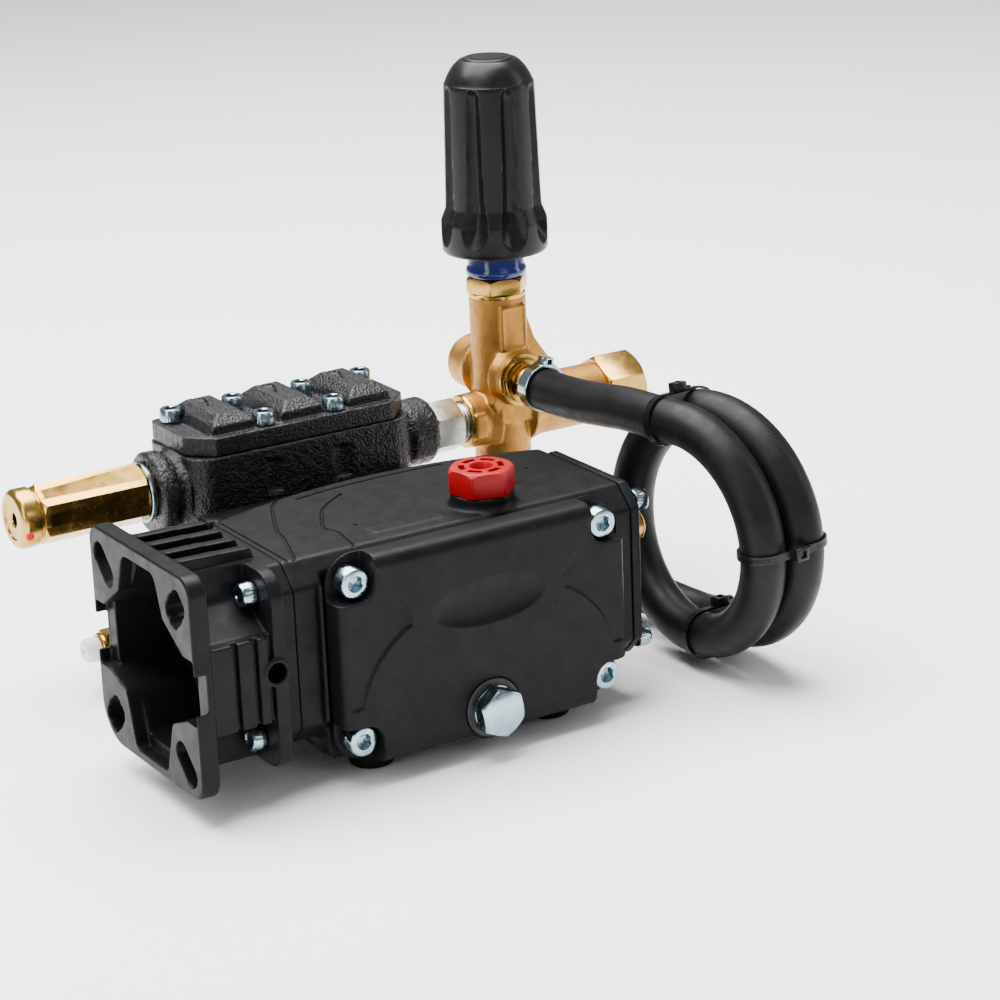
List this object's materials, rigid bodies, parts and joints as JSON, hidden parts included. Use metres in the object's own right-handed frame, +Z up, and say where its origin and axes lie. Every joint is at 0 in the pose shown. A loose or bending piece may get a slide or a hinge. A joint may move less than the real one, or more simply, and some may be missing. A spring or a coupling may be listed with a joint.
{
  "type": "pressure washer pump",
  "caption": "Crankshaft-driven triplex plunger pump with hollow-shaft engine flange, manifold head, unloader valve with knob, and a coiled bypass hose.",
  "frame": {"origin": "on the floor under the middle of the rigid pump's bounding box, measured without the hose, its clamps and its ties", "axes": "+X along the crankshaft from the engine flange to the outlet side, +Y from the crankcase cover to the manifold head, +Z up along the knob"},
  "size_m": [0.32, 0.23, 0.2533],
  "materials": {
    "black_casting": "black satin powder coat",
    "cast_iron": "rough black paint",
    "brass": "machined",
    "zinc_steel": "zinc plated",
    "steel": "ground",
    "black_plastic": "satin",
    "rubber": "matte",
    "red_plastic": "gloss",
    "blue_paint": "gloss",
    "white_plastic": "satin",
    "bronze": "machined"
  },
  "bodies": {
    "pump_body": {"cover_screw_1": "zinc_steel", "cover_screw_2": "zinc_steel", "cover_screw_3": "zinc_steel", "cover_screw_4": "zinc_steel", "end_cover_screw_1": "zinc_steel", "end_cover_screw_2": "zinc_steel", "end_cover_screw_3": "zinc_steel", "end_cover_screw_4": "zinc_steel", "flange_screw_1": "zinc_steel", "flange_screw_2": "zinc_steel", "flange_screw_3": "zinc_steel", "flange_screw_4": "zinc_steel", "valve_cover_screw_1": "zinc_steel", "valve_cover_screw_2": "zinc_steel", "valve_cover_screw_3": "zinc_steel", "valve_cover_screw_4": "zinc_steel", "valve_cover_screw_5": "zinc_steel", "valve_cover_screw_6": "zinc_steel", "crankcase": "black_casting", "crankcase_cover": "black_casting", "drain_plug": "zinc_steel", "drain_plug_seal": "rubber", "end_cover": "black_casting", "sight_glass": "brass", "engine_flange": "black_casting", "shaft_oil_seal": "rubber", "bearing_engine_side": "steel", "bearing_cover_side": "steel", "manifold_head": "cast_iron", "valve_cover": "cast_iron", "relief_valve": "brass", "thermal_relief": "brass", "thermal_relief_tip": "white_plastic", "inlet_tee": "brass", "gallery_nipple": "zinc_steel", "unloader_body": "brass", "unloader_guide_nut": "brass", "unloader_lock_ring": "blue_paint", "unloader_spring": "steel", "bypass_hose": "rubber", "bypass_barb": "brass", "hose_clamp_unloader": "zinc_steel", "hose_clamp_inlet": "zinc_steel", "cable_tie_top": "black_plastic", "cable_tie_side": "black_plastic", "cable_tie_bottom": "black_plastic"},
    "crankshaft": {"crankshaft": "steel"},
    "adjusting_screw": {"adjusting_screw": "zinc_steel"},
    "unloader_knob": {"unloader_knob": "black_plastic"},
    "unloader_piston": {"unloader_piston": "steel"},
    "oil_filler_cap": {"oil_filler_cap": "red_plastic"},
    "connecting_rod_1": {"connecting_rod_1": "bronze"},
    "connecting_rod_2": {"connecting_rod_2": "bronze"},
    "connecting_rod_3": {"connecting_rod_3": "bronze"},
    "plunger_1": {"plunger_1": "steel"},
    "plunger_2": {"plunger_2": "steel"},
    "plunger_3": {"plunger_3": "steel"},
    "discharge_valve_1": {"discharge_valve_1": "steel"},
    "discharge_valve_2": {"discharge_valve_2": "steel"},
    "discharge_valve_3": {"discharge_valve_3": "steel"}
  },
  "joints": [
    {"name": "crankshaft_spin", "type": "hinge", "parent": "pump_body", "child": "crankshaft", "pos_m": [-0.027, -0.046, 0.0575], "axis": [1, 0, 0], "continuous": true},
    {"name": "crank_pin_1", "type": "hinge", "parent": "crankshaft", "child": "connecting_rod_1", "pos_m": [-0.061, -0.04285, 0.0575], "axis": [1, 0, 0], "continuous": true},
    {"name": "crank_pin_2", "type": "hinge", "parent": "crankshaft", "child": "connecting_rod_2", "pos_m": [-0.027, -0.04757, 0.06023], "axis": [1, 0, 0], "continuous": true},
    {"name": "crank_pin_3", "type": "hinge", "parent": "crankshaft", "child": "connecting_rod_3", "pos_m": [0.007, -0.04757, 0.05477], "axis": [1, 0, 0], "continuous": true},
    {"name": "plunger_stroke_1", "type": "slide", "parent": "pump_body", "child": "plunger_1", "axis": [0, 1, 0], "range_m": [-0.00315, 0.00315]},
    {"name": "plunger_stroke_2", "type": "slide", "parent": "pump_body", "child": "plunger_2", "axis": [0, 1, 0], "range_m": [-0.00315, 0.00315]},
    {"name": "plunger_stroke_3", "type": "slide", "parent": "pump_body", "child": "plunger_3", "axis": [0, 1, 0], "range_m": [-0.00315, 0.00315]},
    {"name": "discharge_valve_lift_1", "type": "slide", "parent": "pump_body", "child": "discharge_valve_1", "axis": [0, 0, 1], "range_m": [0, 0.0025], "stiffness_N_per_m": 300},
    {"name": "discharge_valve_lift_2", "type": "slide", "parent": "pump_body", "child": "discharge_valve_2", "axis": [0, 0, 1], "range_m": [0, 0.0025], "stiffness_N_per_m": 300},
    {"name": "discharge_valve_lift_3", "type": "slide", "parent": "pump_body", "child": "discharge_valve_3", "axis": [0, 0, 1], "range_m": [0, 0.0025], "stiffness_N_per_m": 300},
    {"name": "knob_turn", "type": "hinge", "parent": "adjusting_screw", "child": "unloader_knob", "pos_m": [0.0875, 0.076, 0.1641], "axis": [0, 0, 1], "range_deg": [-1440, 360]},
    {"name": "adjuster_travel", "type": "slide", "parent": "pump_body", "child": "adjusting_screw", "axis": [0, 0, 1], "range_m": [-0.006, 0.0015], "deforming": ["unloader_spring"]},
    {"name": "bypass_piston_lift", "type": "slide", "parent": "pump_body", "child": "unloader_piston", "axis": [0, 0, 1], "range_m": [0, 0.0015], "stiffness_N_per_m": 2000},
    {"name": "oil_filler_cap_turn", "type": "hinge", "parent": "pump_body", "child": "oil_filler_cap", "pos_m": [-0.006, -0.059, 0.102], "axis": [0, 0, 1], "range_deg": [0, 360]}
  ],
  "couplings": [
    {"joint": "crank_pin_1", "follows": "crankshaft_spin", "ratio": -1},
    {"joint": "crank_pin_2", "follows": "crankshaft_spin", "ratio": -1},
    {"joint": "crank_pin_3", "follows": "crankshaft_spin", "ratio": -1},
    {"joint": "knob_turn", "follows": "adjuster_travel", "rad_per_m": 4188.8}
  ]
}
